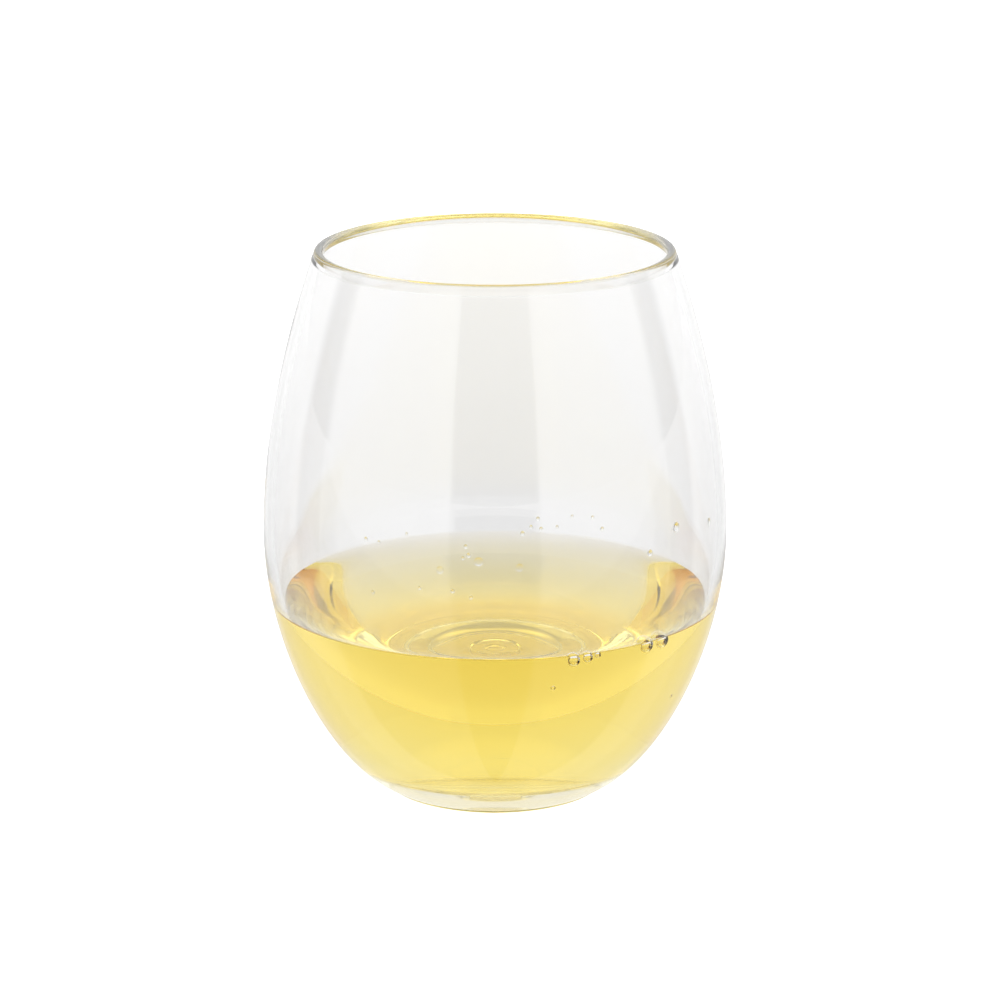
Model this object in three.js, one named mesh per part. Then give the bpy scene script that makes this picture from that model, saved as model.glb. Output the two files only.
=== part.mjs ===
// A stemless tumbler moulded in clear plastic, holding a pale yellow drink.
// Millimetres and degrees, +Z up. The origin is the middle of the foot, at table height.
import * as THREE from 'three';

// Outside of the bowl
const HEIGHT = 106; // table to the top of the lip
const RIM_RADIUS = 34.4; // outer side of the rounded lip
const RIM_LEAN = 19; // lean of the wall at the lip, inwards from upright
const BELLY_RADIUS = 44.7; // widest ring of the bowl
const BELLY_HEIGHT = 50.4; // height of that ring
const HEEL_RADIUS = 22.2; // where the bowl meets the rounded edge of the foot
const HEEL_HEIGHT = 0.7; // height of that edge above the table
const HEEL_FLARE = 25.4; // slope of the bowl at the heel, up from level

// Reach of each curve handle, as a share of its curve's rise
const HEEL_FULLNESS = 0.25;
const LOWER_BELLY_FULLNESS = 0.42;
const UPPER_BELLY_FULLNESS = 0.33;
const RIM_FULLNESS = 0.34;

// Thickness of the plastic
const WALL = 1.9; // from the belly up to the lip
const HEEL_THICKNESS = 5; // at the heel, thinning upwards to the wall
const FLOOR_THICKNESS = 6.4; // between the inside floor and the recess under it
const FLOOR_ROUNDING = 1.5; // reach of the blend between floor and wall

// Underside
const FOOT_EDGE = 2.6; // width of the rounded edge outside the foot ring
const FOOT_RING_WIDTH = 1.4; // flat ring that stands on the table
const RECESS_DEPTH = 0.8; // shallow recess inside the ring
const RECESS_DRAFT = 0.8; // width of the recess's sloping side
const HUB_RADIUS = 13.2; // deeper round recess in the middle of the shallow one
const HUB_DEPTH = 2.3; // its roof, above the shallow recess
const HUB_DRAFT = 0.3; // width of its sloping side
const GATE_RADIUS = 4.8; // boss where the plastic was injected
const GATE_HEIGHT = 2.1; // boss, down from the deeper recess's roof
const NUB_RADIUS = 1.8; // dimple in the end of the boss
const NUB_DEPTH = 0.3; // depth of that dimple

// Drink
const DRINK_DEPTH = 29.8; // level surface above the inside floor
const MENISCUS_RISE = 1.05; // climb of the surface at the wall
const MENISCUS_WIDTH = 2.6; // width of that climb
const DRINK_GAP = 0.3; // clearance between drink and plastic

// Facets
const AROUND = 72;
const LOWER_STEPS = 12;
const UPPER_STEPS = 10;
const LIP_STEPS = 6;
const EDGE_STEPS = 3;
const BLEND_STEPS = 4;
const MENISCUS_STEPS = 5;

const floorTop = RECESS_DEPTH + FLOOR_THICKNESS;

function at(radius, height) {
  return new THREE.Vector2(radius, height);
}

// A point that lies a distance from start, at a slope up from level.
function along(start, slope, distance) {
  const angle = THREE.MathUtils.degToRad(slope);
  return at(start.x + distance * Math.cos(angle), start.y + distance * Math.sin(angle));
}

// Radius of a rising profile at a height, or of its lowest point if it starts above that height.
function radiusAt(profile, height) {
  const above = profile.findIndex((point) => point.y > height);
  const high = profile[above];
  const low = profile[Math.max(above - 1, 0)];
  return low === high ? high.x : THREE.MathUtils.mapLinear(height, low.y, high.y, low.x, high.x);
}

// The bowl's outside: one curve from heel to belly, one from belly to lip.
const lipCentre = at(RIM_RADIUS - WALL / 2, HEIGHT - WALL / 2);
const lipStart = along(lipCentre, RIM_LEAN, WALL / 2);
const heel = at(HEEL_RADIUS, HEEL_HEIGHT);
const belly = at(BELLY_RADIUS, BELLY_HEIGHT);
const lowerRise = belly.y - heel.y;
const upperRise = lipStart.y - belly.y;
const lowerOutside = new THREE.CubicBezierCurve(
  heel,
  along(heel, HEEL_FLARE, HEEL_FULLNESS * lowerRise),
  at(belly.x, belly.y - LOWER_BELLY_FULLNESS * lowerRise),
  belly,
);
const upperOutside = new THREE.CubicBezierCurve(
  belly,
  at(belly.x, belly.y + UPPER_BELLY_FULLNESS * upperRise),
  along(lipStart, RIM_LEAN - 90, RIM_FULLNESS * upperRise),
  lipStart,
);

// The inside of the wall, a thickness in from an outside curve.
function insidePoint(curve, share, thickness) {
  const outside = curve.getPoint(share);
  const direction = curve.getTangent(share);
  return at(outside.x - direction.y * thickness, outside.y + direction.x * thickness);
}

// Inside of the tumbler, from the middle of the floor out and up to the lip.
function insideProfile() {
  const wall = [];
  for (let step = 0; step <= LOWER_STEPS; step += 1) {
    const share = step / LOWER_STEPS;
    const thickening = (HEEL_THICKNESS - WALL) * (1 - share) ** 2;
    wall.push(insidePoint(lowerOutside, share, WALL + thickening));
  }
  for (let step = 1; step <= UPPER_STEPS; step += 1) {
    wall.push(insidePoint(upperOutside, step / UPPER_STEPS, WALL));
  }
  const corner = at(radiusAt(wall, floorTop), floorTop);
  const rising = wall.filter((point) => point.y > floorTop && point.distanceTo(corner) > FLOOR_ROUNDING);
  const floorEnd = at(corner.x - FLOOR_ROUNDING, floorTop);
  const blend = new THREE.QuadraticBezierCurve(floorEnd, corner, rising[0]);
  return [
    at(0, floorTop),
    ...blend.getPoints(BLEND_STEPS),
    ...rising.slice(1),
  ];
}

// Underside, from its middle out to the heel: gate boss, both recesses, foot ring and rounded edge.
function undersideProfile() {
  const ringOuter = HEEL_RADIUS - FOOT_EDGE;
  const ringInner = ringOuter - FOOT_RING_WIDTH;
  const hubTop = RECESS_DEPTH + HUB_DEPTH;
  const gateEnd = hubTop - GATE_HEIGHT;
  const edge = new THREE.QuadraticBezierCurve(at(ringOuter, 0), at(HEEL_RADIUS, 0), heel);
  return [
    at(0, gateEnd + NUB_DEPTH),
    at(NUB_RADIUS, gateEnd + NUB_DEPTH),
    at(NUB_RADIUS, gateEnd),
    at(GATE_RADIUS, gateEnd),
    at(GATE_RADIUS, hubTop),
    at(HUB_RADIUS - HUB_DRAFT, hubTop),
    at(HUB_RADIUS, RECESS_DEPTH),
    at(ringInner - RECESS_DRAFT, RECESS_DEPTH),
    at(ringInner, 0),
    ...edge.getPoints(EDGE_STEPS),
  ];
}

// The lip, half a circle from the outside of the wall over to its inside.
function lipProfile() {
  const points = [];
  for (let step = 1; step < LIP_STEPS; step += 1) {
    points.push(along(lipCentre, RIM_LEAN + (180 * step) / LIP_STEPS, WALL / 2));
  }
  return points;
}

function tumblerProfile() {
  return [
    ...undersideProfile(),
    ...lowerOutside.getPoints(LOWER_STEPS).slice(1),
    ...upperOutside.getPoints(UPPER_STEPS).slice(1),
    ...lipProfile(),
    ...insideProfile().reverse(),
  ];
}

// A profile moved a distance to its left, which is into the tumbler.
function movedIn(profile, distance) {
  return profile.map((point, index) => {
    const before = profile[Math.max(index - 1, 0)];
    const after = profile[Math.min(index + 1, profile.length - 1)];
    const direction = after.clone().sub(before).normalize();
    return at(point.x - direction.y * distance, point.y + direction.x * distance);
  });
}

// The drink lies along the inside of the tumbler and climbs a little where it meets the wall.
function drinkProfile() {
  const skin = movedIn(insideProfile(), DRINK_GAP);
  const level = floorTop + DRINK_DEPTH;
  const contactHeight = level + MENISCUS_RISE;
  const contact = at(radiusAt(skin, contactHeight), contactHeight);
  const meniscus = new THREE.QuadraticBezierCurve(
    contact,
    at(contact.x - MENISCUS_WIDTH / 3, level),
    at(contact.x - MENISCUS_WIDTH, level),
  );
  return [
    ...skin.filter((point) => point.y < contactHeight),
    ...meniscus.getPoints(MENISCUS_STEPS),
    at(0, level),
  ];
}

function turned(name, profile, material) {
  const geometry = new THREE.LatheGeometry(profile, AROUND);
  geometry.rotateX(Math.PI / 2);
  const mesh = new THREE.Mesh(geometry, material);
  mesh.name = name;
  return mesh;
}

const clearPlastic = new THREE.MeshStandardMaterial({
  color: 0xf3f3f1,
  roughness: 0.06,
  metalness: 0,
  transparent: true,
  opacity: 0.25,
});

const paleYellowDrink = new THREE.MeshStandardMaterial({
  color: 0xf0d45a,
  roughness: 0.03,
  metalness: 0,
  transparent: true,
  opacity: 0.7,
});

const part = new THREE.Group();
part.add(turned('tumbler', tumblerProfile(), clearPlastic));
part.add(turned('drink', drinkProfile(), paleYellowDrink));

export default part;
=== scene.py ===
"""Looks of a clear plastic tumbler that holds a pale yellow drink."""
import math

import bmesh
import bpy
from mathutils import Euler, Matrix, Vector


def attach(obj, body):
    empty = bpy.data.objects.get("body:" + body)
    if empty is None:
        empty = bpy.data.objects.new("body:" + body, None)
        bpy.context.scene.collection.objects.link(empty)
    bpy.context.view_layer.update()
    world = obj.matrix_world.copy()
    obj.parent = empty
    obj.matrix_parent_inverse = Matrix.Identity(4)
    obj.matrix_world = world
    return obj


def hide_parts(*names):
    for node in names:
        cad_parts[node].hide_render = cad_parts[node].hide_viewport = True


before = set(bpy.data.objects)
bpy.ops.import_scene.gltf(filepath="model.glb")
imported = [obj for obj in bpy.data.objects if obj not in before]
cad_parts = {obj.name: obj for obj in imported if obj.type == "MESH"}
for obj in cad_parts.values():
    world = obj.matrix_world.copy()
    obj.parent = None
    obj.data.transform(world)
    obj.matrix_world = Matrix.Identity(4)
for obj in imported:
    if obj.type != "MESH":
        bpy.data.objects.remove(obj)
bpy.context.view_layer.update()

MM = 0.001

# Outside of the bowl, in millimetres and degrees
HEIGHT = 106.0
RIM_RADIUS = 34.4
RIM_LEAN = 19.0
BELLY_RADIUS = 44.7
BELLY_HEIGHT = 50.4
HEEL_RADIUS = 22.2
HEEL_HEIGHT = 0.7
HEEL_FLARE = 25.4

# Reach of each curve handle, as a share of its curve's rise
HEEL_FULLNESS = 0.25
LOWER_BELLY_FULLNESS = 0.42
UPPER_BELLY_FULLNESS = 0.33
RIM_FULLNESS = 0.34

# Thickness of the plastic
WALL = 1.9
HEEL_THICKNESS = 5.0
FLOOR_THICKNESS = 6.4
FLOOR_ROUNDING = 1.5

# Underside
FOOT_EDGE = 2.6
FOOT_RING_WIDTH = 1.4
RECESS_DEPTH = 0.8
RECESS_DRAFT = 0.8
HUB_RADIUS = 13.2
HUB_DEPTH = 2.3
HUB_DRAFT = 0.3
GATE_RADIUS = 4.8
GATE_HEIGHT = 2.1
NUB_RADIUS = 1.8
NUB_DEPTH = 0.3
MOULD_ROUNDING = 0.25
PARTING_HEIGHT = 104.2
PARTING_RIDGE = 0.06
PARTING_WIDTH = 0.3

# Drink
DRINK_DEPTH = 29.8
MENISCUS_RISE = 1.05
MENISCUS_END = 0.01
CAPILLARY_LENGTH = 2.2
DRINK_BITE = 0.05

# Refraction and colour. The heel's warm tint is painted drink-yellow light; it fades out between two
# heights in metres
AIR_IOR = 1.0
PLASTIC_IOR = 1.585
HEEL_PAINTED_LIGHT_COLOUR = (0.97, 0.89, 0.6)
HEEL_PAINTED_LIGHT_FADE = (0.004, 0.009)
DRINK_IOR = 1.37
DRINK_COLOUR = (0.988, 0.86, 0.0)
DRINK_DENSITY = 27.0

# Skin of the clear materials, in metres: patches of gloss, scuffs under the foot and slow waves
GLOSS_SCALE = 15.0
GLOSS_DETAIL = 2.0
GLOSS_CONTRAST = (0.3, 0.7)
GLOSS_ROUGHNESS = (0.002, 0.014)
SCUFF_SCALE = 700.0
SCUFF_DETAIL = 4.0
SCUFF_CONTRAST = (0.5, 0.7)
SCUFF_ROUGHNESS = 0.25
SCUFF_FADE = (0.0002, 0.0012)
WAVE_SCALE = 45.0
WAVE_DETAIL = 1.0
WAVE_STRENGTH = 0.12
WAVE_HEIGHT = 0.0003

# Facets, with the share of an edge that a rounded corner may take up and the angle of a sharp edge
AROUND = 192
LOWER_STEPS = 48
UPPER_STEPS = 40
LIP_STEPS = 16
EDGE_STEPS = 6
RIDGE_STEPS = 4
BLEND_STEPS = 10
CORNER_STEPS = 3
CORNER_SHARE = 0.45
MENISCUS_STEPS = 24
SHARP_ANGLE = math.radians(35)
ON_AXIS = 1e-6

# Camera, with the place of the tumbler's mid-height in a picture of 1000 by 1000 pixels
CAMERA_DISTANCE = 668.7
CAMERA_HEIGHT = 244.1
FOCAL_PIXELS = 3600.0
PICTURE_PIXELS = 1000.0
SENSOR_WIDTH = 36.0
MIDDLE_X = 494.9
MIDDLE_Y = 516.6

# Air bubbles where the drink meets the front wall: place in that picture, and width in its pixels
BUBBLES = (
    (573.9, 660.3, 13.3),
    (587.8, 657.4, 10.8),
    (597.7, 654.9, 6.6),
    (646.6, 645.3, 15.3),
    (662.0, 640.8, 15.3),
)
SUNK_BUBBLES = ((671.0, 696.0, 4.0), (553.0, 688.0, 5.0))
BUBBLE_FILM = 0.05
SUNK_DEPTH = 0.6
BALL_DIVISIONS = 4

# Drops on the inside of the front wall: place, width and height in that picture, and bulge as a share
# of the width
DROPS = (
    (676.0, 527.0, 9.0, 10.0, 0.3),
    (650.0, 553.0, 6.0, 7.0, 0.3),
    (709.0, 522.0, 5.0, 9.0, 0.3),
    (538.0, 519.0, 4.0, 4.5, 0.28),
    (531.0, 527.0, 3.5, 4.0, 0.28),
    (541.0, 529.0, 4.0, 4.5, 0.28),
    (522.5, 533.5, 4.5, 5.0, 0.28),
    (572.0, 516.5, 3.0, 3.5, 0.28),
    (592.5, 517.5, 3.5, 4.0, 0.28),
    (557.0, 527.0, 3.0, 3.5, 0.28),
    (602.0, 529.0, 4.0, 4.5, 0.28),
    (465.6, 546.6, 4.0, 4.5, 0.28),
    (468.6, 555.3, 4.5, 5.0, 0.28),
    (462.9, 558.3, 3.5, 4.0, 0.28),
    (406.7, 534.0, 3.0, 3.5, 0.28),
    (366.0, 539.0, 4.0, 4.5, 0.28),
    (379.0, 542.0, 3.0, 3.5, 0.28),
    (373.0, 592.0, 3.5, 4.0, 0.28),
    (419.5, 588.0, 3.5, 4.0, 0.28),
    (452.6, 591.0, 4.0, 4.5, 0.28),
    (471.0, 597.5, 3.5, 4.0, 0.28),
    (519.6, 567.7, 7.5, 8.0, 0.08),
    (478.6, 561.8, 9.0, 9.0, 0.08),
    (440.0, 570.0, 7.0, 7.5, 0.08),
)
DROP_SAG = 0.2
DROP_AROUND = 20
DROP_RINGS = 6

# Search for the place where a line of sight meets a wall
SIGHT_STEP = 0.2
SIGHT_HALVINGS = 30

# Table, in metres: it glows a little more with its distance from the tumbler, painted light that leaves
# painted shade near the tumbler
TABLE_HALF = 3.0
TABLE_DROP = 0.0001
TABLE_WHITE = 0.92
TABLE_ROUGHNESS = 0.9
TABLE_PAINTED_GLOW = (0.02, 0.22)
TABLE_PAINTED_GLOW_REACH = (0.08, 0.58)

# Studio sky: bearings off the front and rises off level, in degrees, each a pair where a soft edge
# starts and ends
SKY_STRENGTH = 0.96
CROWN_RISE = (45, 60)
CROWN_SHARE = 0.5
DARK_STRENGTH = 0.15
SLIT_SIDE = (20, 24)
SLIT_TOP = (26, 32)
PANEL_FRONT = (92, 98)
PANEL_BACK = (110, 118)
PANEL_FOOT = (-22, -16)
PANEL_TOP = (40, 60)
SHADE_DEPTH = 0.3
SHADE_FRONT = (116, 126)
SHADE_BACK = (150, 162)
SHADE_TOP = (-6, 2)
LOW_DEPTH = 0.5
LOW_SLOPE = 0.35
LOW_SPREAD = 0.04
LOW_EDGE = (-0.03, 0.0)
LOW_BACK = (92, 98)
LAMP_STRENGTH = 2.2
LAMP_SIDE = (35, 85)
LAMP_FOOT = (28, 46)
LAMP_TOP = (58, 78)
LIGHT_BOUNCES = 72

floor_top = RECESS_DEPTH + FLOOR_THICKNESS


# Profiles: lists of (radius, height) in millimetres

def along(start, slope, distance):
    angle = math.radians(slope)
    return (start[0] + distance * math.cos(angle), start[1] + distance * math.sin(angle))


def cubic(points, share):
    """Point and unit direction of a cubic curve at a share of its run."""
    a, b, c, d = points
    rest = 1 - share
    point = tuple(
        rest**3 * a[i] + 3 * rest**2 * share * b[i] + 3 * rest * share**2 * c[i] + share**3 * d[i]
        for i in (0, 1)
    )
    slope = Vector(
        tuple(
            rest**2 * (b[i] - a[i]) + 2 * rest * share * (c[i] - b[i]) + share**2 * (d[i] - c[i])
            for i in (0, 1)
        )
    )
    return point, slope.normalized()


def quadratic(a, b, c, steps):
    points = []
    for step in range(steps + 1):
        share = step / steps
        rest = 1 - share
        points.append(
            tuple(rest**2 * a[i] + 2 * rest * share * b[i] + share**2 * c[i] for i in (0, 1))
        )
    return points


lip_centre = (RIM_RADIUS - WALL / 2, HEIGHT - WALL / 2)
lip_start = along(lip_centre, RIM_LEAN, WALL / 2)
heel = (HEEL_RADIUS, HEEL_HEIGHT)
belly = (BELLY_RADIUS, BELLY_HEIGHT)
lower_rise = belly[1] - heel[1]
upper_rise = lip_start[1] - belly[1]
lower_outside = (
    heel,
    along(heel, HEEL_FLARE, HEEL_FULLNESS * lower_rise),
    (belly[0], belly[1] - LOWER_BELLY_FULLNESS * lower_rise),
    belly,
)
upper_outside = (
    belly,
    (belly[0], belly[1] + UPPER_BELLY_FULLNESS * upper_rise),
    along(lip_start, RIM_LEAN - 90, RIM_FULLNESS * upper_rise),
    lip_start,
)


def inside_point(curve, share, thickness):
    point, direction = cubic(curve, share)
    return (point[0] - direction[1] * thickness, point[1] + direction[0] * thickness)


def radius_at(profile, height):
    for low, high in zip(profile, profile[1:]):
        if low[1] <= height < high[1]:
            return low[0] + (high[0] - low[0]) * (height - low[1]) / (high[1] - low[1])
    return profile[0][0]


def rounded(corners, rounding):
    """The same run of points with each inner corner rounded off."""
    points = [corners[0]]
    for before, corner, after in zip(corners, corners[1:], corners[2:]):
        ends = []
        for other in (before, after):
            length = math.dist(corner, other)
            reach = min(rounding / length, CORNER_SHARE)
            ends.append(tuple(corner[i] + (other[i] - corner[i]) * reach for i in (0, 1)))
        points += quadratic(ends[0], corner, ends[1], CORNER_STEPS)
    return points + [corners[-1]]


def inside_profile():
    wall = []
    for step in range(LOWER_STEPS + 1):
        share = step / LOWER_STEPS
        thickening = (HEEL_THICKNESS - WALL) * (1 - share) ** 2
        wall.append(inside_point(lower_outside, share, WALL + thickening))
    for step in range(1, UPPER_STEPS + 1):
        wall.append(inside_point(upper_outside, step / UPPER_STEPS, WALL))
    corner = (radius_at(wall, floor_top), floor_top)
    rising = [p for p in wall if p[1] > floor_top and math.dist(p, corner) > FLOOR_ROUNDING]
    blend = quadratic((corner[0] - FLOOR_ROUNDING, floor_top), corner, rising[0], BLEND_STEPS)
    return [(0, floor_top), *blend, *rising[1:]]


def underside_profile():
    ring_outer = HEEL_RADIUS - FOOT_EDGE
    ring_inner = ring_outer - FOOT_RING_WIDTH
    hub_top = RECESS_DEPTH + HUB_DEPTH
    gate_end = hub_top - GATE_HEIGHT
    corners = [
        (0, gate_end + NUB_DEPTH),
        (NUB_RADIUS, gate_end + NUB_DEPTH),
        (NUB_RADIUS, gate_end),
        (GATE_RADIUS, gate_end),
        (GATE_RADIUS, hub_top),
        (HUB_RADIUS - HUB_DRAFT, hub_top),
        (HUB_RADIUS, RECESS_DEPTH),
        (ring_inner - RECESS_DRAFT, RECESS_DEPTH),
        (ring_inner, 0),
        (ring_outer, 0),
    ]
    edge = quadratic((ring_outer, 0), (HEEL_RADIUS, 0), heel, EDGE_STEPS)
    return rounded(corners, MOULD_ROUNDING) + edge[1:]


inside = inside_profile()
drink_level = floor_top + DRINK_DEPTH
contact_height = drink_level + MENISCUS_RISE
contact = (radius_at(inside, contact_height), contact_height)
wet_inside = [p for p in inside if p[1] < contact_height] + [contact]
dry_inside = [p for p in inside if p[1] > contact_height]


def with_parting_line(profile):
    """The same rising run of points with the fine ridge of a mould's parting line on it."""
    bottom = PARTING_HEIGHT - PARTING_WIDTH / 2
    top = PARTING_HEIGHT + PARTING_WIDTH / 2
    ridge = []
    for step in range(RIDGE_STEPS + 1):
        share = step / RIDGE_STEPS
        height = bottom + PARTING_WIDTH * share
        ridge.append((radius_at(profile, height) + PARTING_RIDGE * math.sin(math.pi * share), height))
    return [p for p in profile if p[1] < bottom] + ridge + [p for p in profile if p[1] > top]


def tumbler_profile():
    """The plastic's outline, and the number of its points that lie outside the drink's reach."""
    lip = [
        along(lip_centre, RIM_LEAN + 180 * step / LIP_STEPS, WALL / 2)
        for step in range(1, LIP_STEPS)
    ]
    lower = [cubic(lower_outside, step / LOWER_STEPS)[0] for step in range(1, LOWER_STEPS + 1)]
    upper = [cubic(upper_outside, step / UPPER_STEPS)[0] for step in range(1, UPPER_STEPS + 1)]
    dry = [
        *underside_profile(),
        *lower,
        *with_parting_line(upper),
        *lip,
        *reversed(dry_inside),
    ]
    return dry + wet_inside[::-1], len(dry)


def meniscus_profile():
    """The surface near the wall: the curve that a liquid takes up against an upright plate."""
    scale = CAPILLARY_LENGTH

    def reach(rise):
        return scale * (math.acosh(2 * scale / rise) - math.sqrt(4 - (rise / scale) ** 2))

    points = []
    for step in range(MENISCUS_STEPS + 1):
        rise = MENISCUS_RISE * MENISCUS_END ** (step / MENISCUS_STEPS)
        points.append((contact[0] - reach(rise) + reach(MENISCUS_RISE), drink_level + rise))
    return points


def drink_profile():
    """The drink's outline, a little way into the plastic."""
    wall = []
    for index, point in enumerate(wet_inside):
        before = wet_inside[max(index - 1, 0)]
        after = wet_inside[min(index + 1, len(wet_inside) - 1)]
        direction = Vector((after[0] - before[0], after[1] - before[1])).normalized()
        wall.append((point[0] + direction[1] * DRINK_BITE, point[1] - direction[0] * DRINK_BITE))
    return wall + meniscus_profile() + [(0, drink_level)]


# Lines of sight: from the camera through a place in the picture, by way of the front wall

camera_place = Vector((0, -CAMERA_DISTANCE, CAMERA_HEIGHT))
camera_turn = Euler(
    (
        math.pi / 2
        - math.atan2(CAMERA_HEIGHT - HEIGHT / 2, CAMERA_DISTANCE)
        + math.atan2(MIDDLE_Y - PICTURE_PIXELS / 2, FOCAL_PIXELS),
        0,
        math.atan2(MIDDLE_X - PICTURE_PIXELS / 2, FOCAL_PIXELS),
    )
)


def meet(start, direction, profile):
    """Where a line first comes within a turned profile, and the outward normal there."""

    def clearance(distance):
        point = start + direction * distance
        return math.hypot(point.x, point.y) - radius_at(profile, point.z)

    near = 0.0
    far = SIGHT_STEP
    while clearance(far) > 0:
        near = far
        far += SIGHT_STEP
    for _ in range(SIGHT_HALVINGS):
        middle = (near + far) / 2
        near, far = (middle, far) if clearance(middle) > 0 else (near, middle)
    point = start + direction * far
    lean = radius_at(profile, point.z + SIGHT_STEP) - radius_at(profile, point.z - SIGHT_STEP)
    radial = Vector((point.x, point.y, 0)).normalized()
    return point, (radial * 2 * SIGHT_STEP - Vector((0, 0, lean))).normalized()


def bent(direction, normal, ratio):
    """A direction after it enters a medium whose refraction is ratio times as strong."""
    sideways = (direction - normal * direction.dot(normal)) / ratio
    return sideways - normal * math.sqrt(1 - sideways.length_squared)


def sight(x, y, ior):
    """Where a line of sight leaves the front wall's inside, its way on, and the wall's normal."""
    ray = Vector((x - PICTURE_PIXELS / 2, PICTURE_PIXELS / 2 - y, -FOCAL_PIXELS)).normalized()
    ray.rotate(camera_turn)
    outside = [cubic(lower_outside, step / LOWER_STEPS)[0] for step in range(LOWER_STEPS)]
    outside += [cubic(upper_outside, step / UPPER_STEPS)[0] for step in range(UPPER_STEPS + 1)]
    start = camera_place + ray * (CAMERA_DISTANCE - 2 * BELLY_RADIUS)
    point, normal = meet(start, ray, outside)
    ray = bent(ray, normal, PLASTIC_IOR)
    point, normal = meet(point, ray, inside)
    return point, bent(ray, normal, ior / PLASTIC_IOR), normal


def real_size(pixels, point):
    return pixels * (point - camera_place).length / FOCAL_PIXELS


# Meshes

def add_piece(name, mesh):
    piece = bpy.data.objects.new(name, mesh)
    bpy.context.scene.collection.objects.link(piece)
    return piece


def lathe(name, profile, material_of_band):
    """A closed mesh turned about Z from a profile that starts and ends on the axis."""
    verts = []
    rings = []
    for radius, height in profile:
        if radius < ON_AXIS:
            rings.append([len(verts)] * AROUND)
            verts.append((0, 0, height * MM))
            continue
        rings.append(list(range(len(verts), len(verts) + AROUND)))
        for step in range(AROUND):
            angle = 2 * math.pi * step / AROUND
            verts.append((radius * MM * math.cos(angle), radius * MM * math.sin(angle), height * MM))
    faces = []
    slots = []
    for band, (low, high) in enumerate(zip(rings, rings[1:])):
        for step in range(AROUND):
            after = (step + 1) % AROUND
            corners = [low[step], low[after], high[after], high[step]]
            face = list(dict.fromkeys(corners))
            if len(face) > 2:
                faces.append(face)
                slots.append(material_of_band(band))
    mesh = bpy.data.meshes.new(name)
    mesh.from_pydata(verts, [], faces)
    mesh.polygons.foreach_set("material_index", slots)
    mesh.polygons.foreach_set("use_smooth", [True] * len(faces))
    mesh.set_sharp_from_angle(angle=SHARP_ANGLE)
    return add_piece(name, mesh)


def balls(name, spheres):
    """Balls in one mesh, from pairs of a centre and a radius in millimetres."""
    shape = bmesh.new()
    for centre, radius in spheres:
        place = Matrix.Translation(centre * MM)
        bmesh.ops.create_icosphere(shape, subdivisions=BALL_DIVISIONS, radius=radius * MM, matrix=place)
    mesh = bpy.data.meshes.new(name)
    shape.to_mesh(mesh)
    shape.free()
    mesh.polygons.foreach_set("use_smooth", [True] * len(mesh.polygons))
    return add_piece(name, mesh)


def blow_bubbles(piece):
    """Hollows the bubbles out of the drink, each with a thin film where it stands above the drink."""
    wall_bubbles = []
    for x, y, width in BUBBLES:
        point, way, normal = sight(x, y, DRINK_IOR)
        radius = real_size(width, point) / 2
        wall_bubbles.append((point - way * (radius / way.dot(normal)), radius))
    sunk = []
    for x, y, width in SUNK_BUBBLES:
        point, way, normal = sight(x, y, DRINK_IOR)
        sunk.append((point - way * (SUNK_DEPTH / way.dot(normal)), real_size(width, point) / 2))
    films = balls("films", [(centre, radius + BUBBLE_FILM) for centre, radius in wall_bubbles])
    hollows = balls("hollows", wall_bubbles + sunk)
    for tool, operation in ((films, "UNION"), (hollows, "DIFFERENCE")):
        cut = piece.modifiers.new(operation, "BOOLEAN")
        cut.object = tool
        cut.operation = operation
        cut.solver = "EXACT"
    shaped = piece.evaluated_get(bpy.context.evaluated_depsgraph_get())
    mesh = bpy.data.meshes.new_from_object(shaped)
    piece.modifiers.clear()
    piece.data = mesh
    mesh.set_sharp_from_angle(angle=SHARP_ANGLE)
    for tool in (films, hollows):
        bpy.data.objects.remove(tool)


def hang_drops(name):
    """Drops that cling to the inside of the front wall, each a closed cap that is fuller low down."""
    shape = bmesh.new()
    for x, y, width, height, bulge in DROPS:
        point, _, normal = sight(x, y, AIR_IOR)
        across = Vector((0, 0, 1)).cross(normal).normalized()
        up = normal.cross(across)
        half_width = real_size(width, point) / 2
        half_height = real_size(height, point) / 2
        rings = []
        for ring in range(DROP_RINGS):
            lift = math.pi / 2 * ring / DROP_RINGS
            inward = 2 * half_width * bulge * math.sin(lift) - DRINK_BITE
            row = []
            for step in range(DROP_AROUND):
                turn = 2 * math.pi * step / DROP_AROUND
                right = half_width * math.cos(lift) * math.cos(turn)
                rise = half_height * (math.cos(lift) * math.sin(turn) - DROP_SAG * math.sin(lift))
                row.append(shape.verts.new((point + across * right + up * rise - normal * inward) * MM))
            rings.append(row)
        for low, high in zip(rings, rings[1:]):
            for step in range(DROP_AROUND):
                after = (step + 1) % DROP_AROUND
                shape.faces.new((low[step], low[after], high[after], high[step]))
        shape.faces.new(rings[0])
        shape.faces.new(rings[-1])
    bmesh.ops.recalc_face_normals(shape, faces=shape.faces)
    mesh = bpy.data.meshes.new(name)
    shape.to_mesh(mesh)
    shape.free()
    mesh.polygons.foreach_set("use_smooth", [True] * len(mesh.polygons))
    mesh.set_sharp_from_angle(angle=SHARP_ANGLE)
    return add_piece(name, mesh)


# Materials

def new_material(name):
    """A material and its surface shader."""
    material = bpy.data.materials.new(name)
    material.use_nodes = True
    return material, material.node_tree.nodes["Principled BSDF"]


def join(tree, value, socket):
    """Sets a socket to a number, or links it to another node's output."""
    if isinstance(value, (int, float)):
        socket.default_value = value
    else:
        tree.links.new(value, socket)


def math_node(tree, operation, *values):
    node = tree.nodes.new("ShaderNodeMath")
    node.operation = operation
    for socket, value in zip(node.inputs, values):
        join(tree, value, socket)
    return node.outputs["Value"]


def ramp(tree, value, start, end, low, high, kind="LINEAR"):
    node = tree.nodes.new("ShaderNodeMapRange")
    node.interpolation_type = kind
    names = ("Value", "From Min", "From Max", "To Min", "To Max")
    for name, number in zip(names, (value, start, end, low, high)):
        join(tree, number, node.inputs[name])
    return node.outputs["Result"]


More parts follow.
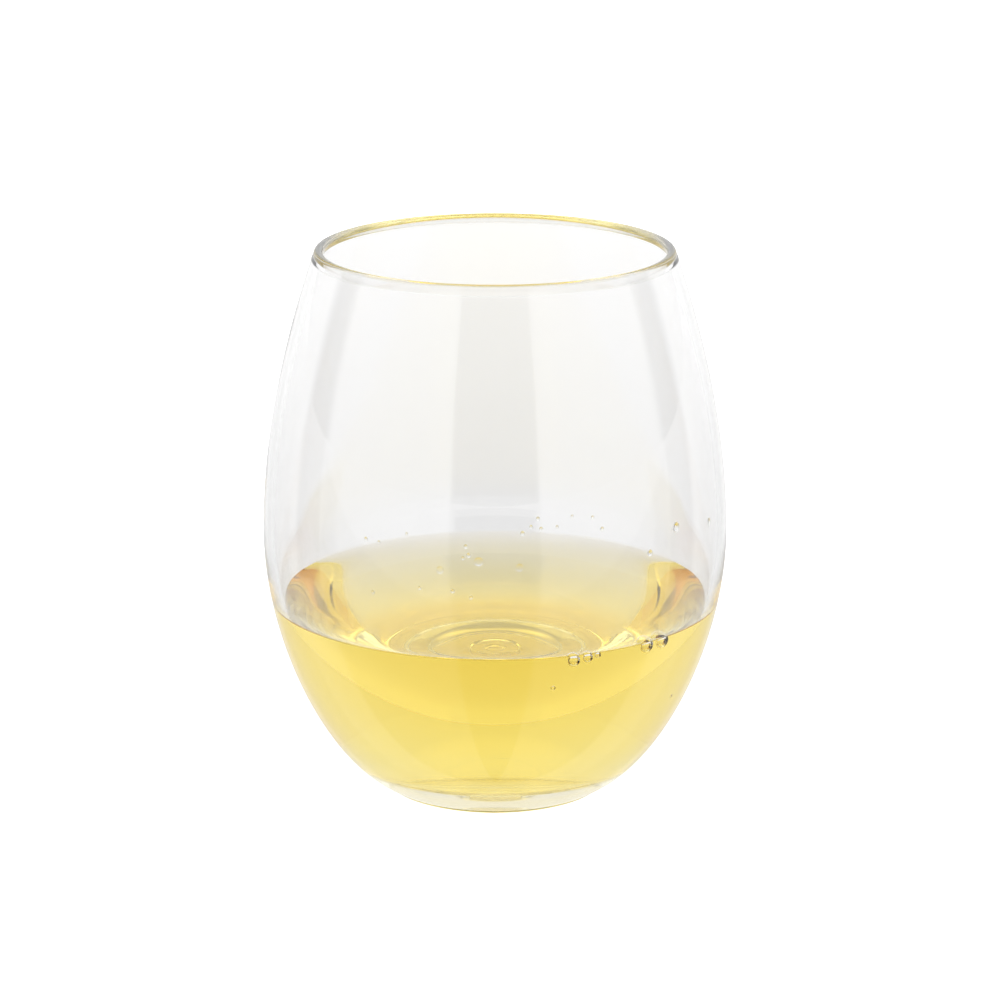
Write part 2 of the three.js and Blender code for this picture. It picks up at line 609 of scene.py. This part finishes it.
def noise(tree, scale, detail):
    node = tree.nodes.new("ShaderNodeTexNoise")
    node.inputs["Scale"].default_value = scale
    node.inputs["Detail"].default_value = detail
    place = tree.nodes.new("ShaderNodeTexCoord").outputs["Object"]
    tree.links.new(place, node.inputs["Vector"])
    return node.outputs["Fac"]


def height_of(tree):
    """Height above the table, in metres."""
    node = tree.nodes.new("ShaderNodeSeparateXYZ")
    place = tree.nodes.new("ShaderNodeTexCoord").outputs["Object"]
    tree.links.new(place, node.inputs["Vector"])
    return node.outputs["Z"]


def see_through(name, ior, glint):
    """A clear, faintly wavy material that keeps a share, its glint, of its straight-on reflection."""
    material, surface = new_material(name)
    tree = material.node_tree
    surface.inputs["Base Color"].default_value = (1, 1, 1, 1)
    surface.inputs["Transmission Weight"].default_value = 1.0
    surface.inputs["IOR"].default_value = ior
    surface.inputs["Specular Tint"].default_value = (glint, glint, glint, 1)
    gloss = ramp(tree, noise(tree, GLOSS_SCALE, GLOSS_DETAIL), *GLOSS_CONTRAST, *GLOSS_ROUGHNESS)
    scuffed = ramp(tree, height_of(tree), *SCUFF_FADE, 1.0, 0.0)
    scuffs = ramp(tree, noise(tree, SCUFF_SCALE, SCUFF_DETAIL), *SCUFF_CONTRAST, 0.0, SCUFF_ROUGHNESS)
    roughness = math_node(tree, "ADD", gloss, math_node(tree, "MULTIPLY", scuffed, scuffs))
    tree.links.new(roughness, surface.inputs["Roughness"])
    waves = tree.nodes.new("ShaderNodeBump")
    waves.inputs["Strength"].default_value = WAVE_STRENGTH
    waves.inputs["Distance"].default_value = WAVE_HEIGHT
    tree.links.new(noise(tree, WAVE_SCALE, WAVE_DETAIL), waves.inputs["Height"])
    tree.links.new(waves.outputs["Normal"], surface.inputs["Normal"])
    return material, surface


def make_plastic_material():
    """Plastic with painted drink-yellow light on its heel, a warm tint that fades out higher up."""
    material, surface = see_through("clear_plastic", PLASTIC_IOR, 1.0)
    tree = material.node_tree
    # Painted light: the base colour turns drink-yellow towards the bottom, standing in for the yellow
    # light that reaches the heel
    painted_heel_light = tree.nodes.new("ShaderNodeValToRGB")
    painted_heel_light.color_ramp.elements[0].color = (*HEEL_PAINTED_LIGHT_COLOUR, 1)
    painted_heel_light.color_ramp.elements[1].color = (1, 1, 1, 1)
    tree.links.new(ramp(tree, height_of(tree), *HEEL_PAINTED_LIGHT_FADE, 0.0, 1.0), painted_heel_light.inputs["Fac"])
    tree.links.new(painted_heel_light.outputs["Color"], surface.inputs["Base Color"])
    return material


def make_wet_plastic_material():
    """Plastic that the drink lies against, with no glint of its own."""
    material, _ = see_through("clear_plastic_wet", PLASTIC_IOR, 0.0)
    return material


def make_drink_material():
    material, _ = see_through("pale_yellow_drink", DRINK_IOR, 0.0)
    tree = material.node_tree
    depth = tree.nodes.new("ShaderNodeVolumeAbsorption")
    depth.inputs["Color"].default_value = (*DRINK_COLOUR, 1)
    depth.inputs["Density"].default_value = DRINK_DENSITY
    tree.links.new(depth.outputs["Volume"], tree.nodes["Material Output"].inputs["Volume"])
    return material


# Stage

def make_table():
    """A white table that stays out of reflections, looks pure white to the camera, and glows with painted
    light that grows away from the tumbler.
    """
    mesh = bpy.data.meshes.new("floor")
    corners = [
        (x * TABLE_HALF, y * TABLE_HALF, -TABLE_DROP)
        for x, y in ((-1, -1), (1, -1), (1, 1), (-1, 1))
    ]
    mesh.from_pydata(corners, [], [(0, 1, 2, 3)])
    table = add_piece("floor", mesh)
    material, surface = new_material("floor_white")
    tree = material.node_tree
    surface.inputs["Base Color"].default_value = (TABLE_WHITE, TABLE_WHITE, TABLE_WHITE, 1)
    surface.inputs["Roughness"].default_value = TABLE_ROUGHNESS
    surface.inputs["Specular IOR Level"].default_value = 0.0
    surface.inputs["Emission Color"].default_value = (1, 1, 1, 1)
    # Painted light: the table glows more the farther it is from the tumbler, which paints shade close to
    # it
    distance = tree.nodes.new("ShaderNodeVectorMath")
    distance.operation = "LENGTH"
    place = tree.nodes.new("ShaderNodeTexCoord").outputs["Object"]
    tree.links.new(place, distance.inputs[0])
    painted_glow = ramp(tree, distance.outputs["Value"], *TABLE_PAINTED_GLOW_REACH, *TABLE_PAINTED_GLOW)
    seen = tree.nodes.new("ShaderNodeLightPath").outputs["Is Camera Ray"]
    tree.links.new(math_node(tree, "ADD", seen, painted_glow), surface.inputs["Emission Strength"])
    mesh.materials.append(material)
    table.visible_glossy = False


def make_studio():
    """A white sky with a lamp high in front, and dark places that show in reflections."""
    world = bpy.data.worlds.new("studio")
    bpy.context.scene.world = world
    world.use_nodes = True
    tree = world.node_tree

    def calc(operation, *values):
        return math_node(tree, operation, *values)

    def smooth(value, edge, low, high):
        return ramp(tree, value, *edge, low, high, "SMOOTHSTEP")

    parts = tree.nodes.new("ShaderNodeSeparateXYZ")
    direction = tree.nodes.new("ShaderNodeTexCoord").outputs["Generated"]
    tree.links.new(direction, parts.inputs["Vector"])
    x, y, z = parts.outputs
    bearing = calc("DEGREES", calc("ABSOLUTE", calc("ARCTAN2", x, calc("MULTIPLY", y, -1.0))))
    rise = calc("DEGREES", calc("ARCSINE", z))

    # A slit in front and a panel on each side, which no straight line through the tumbler shows
    slit = calc("MULTIPLY", smooth(bearing, SLIT_SIDE, 1.0, 0.0), smooth(rise, SLIT_TOP, 1.0, 0.0))
    panel = calc("MULTIPLY", smooth(bearing, PANEL_FRONT, 0.0, 1.0), smooth(bearing, PANEL_BACK, 1.0, 0.0))
    panel = calc("MULTIPLY", panel, smooth(rise, PANEL_TOP, 1.0, 0.0))
    panel = calc("MULTIPLY", panel, smooth(rise, PANEL_FOOT, 0.0, 1.0))
    light_path = tree.nodes.new("ShaderNodeLightPath").outputs
    straight = calc("SUBTRACT", light_path["Is Transmission Ray"], light_path["Glossy Depth"])
    mirrored = calc("SUBTRACT", 1.0, calc("MAXIMUM", straight, 0.0))
    flags = calc("MULTIPLY", calc("MAXIMUM", slit, panel), mirrored)

    # Fainter dark places below level: in front, and behind each panel
    ahead = calc("MULTIPLY_ADD", y, -LOW_SLOPE, calc("MULTIPLY", calc("ABSOLUTE", x), LOW_SPREAD))
    low = smooth(calc("ADD", z, ahead), LOW_EDGE, LOW_DEPTH, 0.0)
    low = calc("MULTIPLY", low, smooth(bearing, LOW_BACK, 1.0, 0.0))
    shade = smooth(bearing, SHADE_FRONT, 0.0, SHADE_DEPTH)
    shade = calc("MULTIPLY", shade, smooth(bearing, SHADE_BACK, 1.0, 0.0))
    shade = calc("MULTIPLY", shade, smooth(rise, SHADE_TOP, 1.0, 0.0))

    dark = calc("MAXIMUM", flags, calc("MAXIMUM", low, shade))
    sky = smooth(dark, (0.0, 1.0), SKY_STRENGTH, DARK_STRENGTH)
    sky = calc("MULTIPLY", sky, smooth(rise, CROWN_RISE, 1.0, CROWN_SHARE))
    lamp = calc("MULTIPLY", smooth(rise, LAMP_FOOT, 0.0, 1.0), smooth(rise, LAMP_TOP, 1.0, 0.0))
    lamp = calc("MULTIPLY", lamp, smooth(bearing, LAMP_SIDE, LAMP_STRENGTH, 0.0))
    strength = calc("MAXIMUM", calc("MAXIMUM", sky, lamp), light_path["Is Camera Ray"])
    background = tree.nodes["Background"]
    background.inputs["Color"].default_value = (1, 1, 1, 1)
    tree.links.new(strength, background.inputs["Strength"])


def make_camera():
    data = bpy.data.cameras.new("camera")
    camera = bpy.data.objects.new("camera", data)
    bpy.context.scene.collection.objects.link(camera)
    bpy.context.scene.camera = camera
    data.sensor_width = SENSOR_WIDTH
    data.lens = SENSOR_WIDTH * FOCAL_PIXELS / PICTURE_PIXELS
    camera.location = camera_place * MM
    camera.rotation_euler = camera_turn


profile, dry_count = tumbler_profile()
tumbler = lathe("tumbler_clear", profile, lambda band: 0 if band < dry_count else 1)
tumbler.data.materials.append(make_plastic_material())
tumbler.data.materials.append(make_wet_plastic_material())
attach(tumbler, "root")
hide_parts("tumbler")

drink_material = make_drink_material()
drink = lathe("drink_pale_yellow", drink_profile(), lambda band: 0)
drink.data.materials.append(drink_material)
blow_bubbles(drink)
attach(drink, "root")
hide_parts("drink")

drops = hang_drops("drink_drops")
drops.data.materials.append(drink_material)
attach(drops, "root")

make_table()
make_studio()
make_camera()

scene = bpy.context.scene
scene.view_settings.view_transform = "Standard"
scene.cycles.max_bounces = LIGHT_BOUNCES
scene.cycles.transmission_bounces = LIGHT_BOUNCES
scene.cycles.glossy_bounces = LIGHT_BOUNCES
scene.cycles.blur_glossy = 0.0
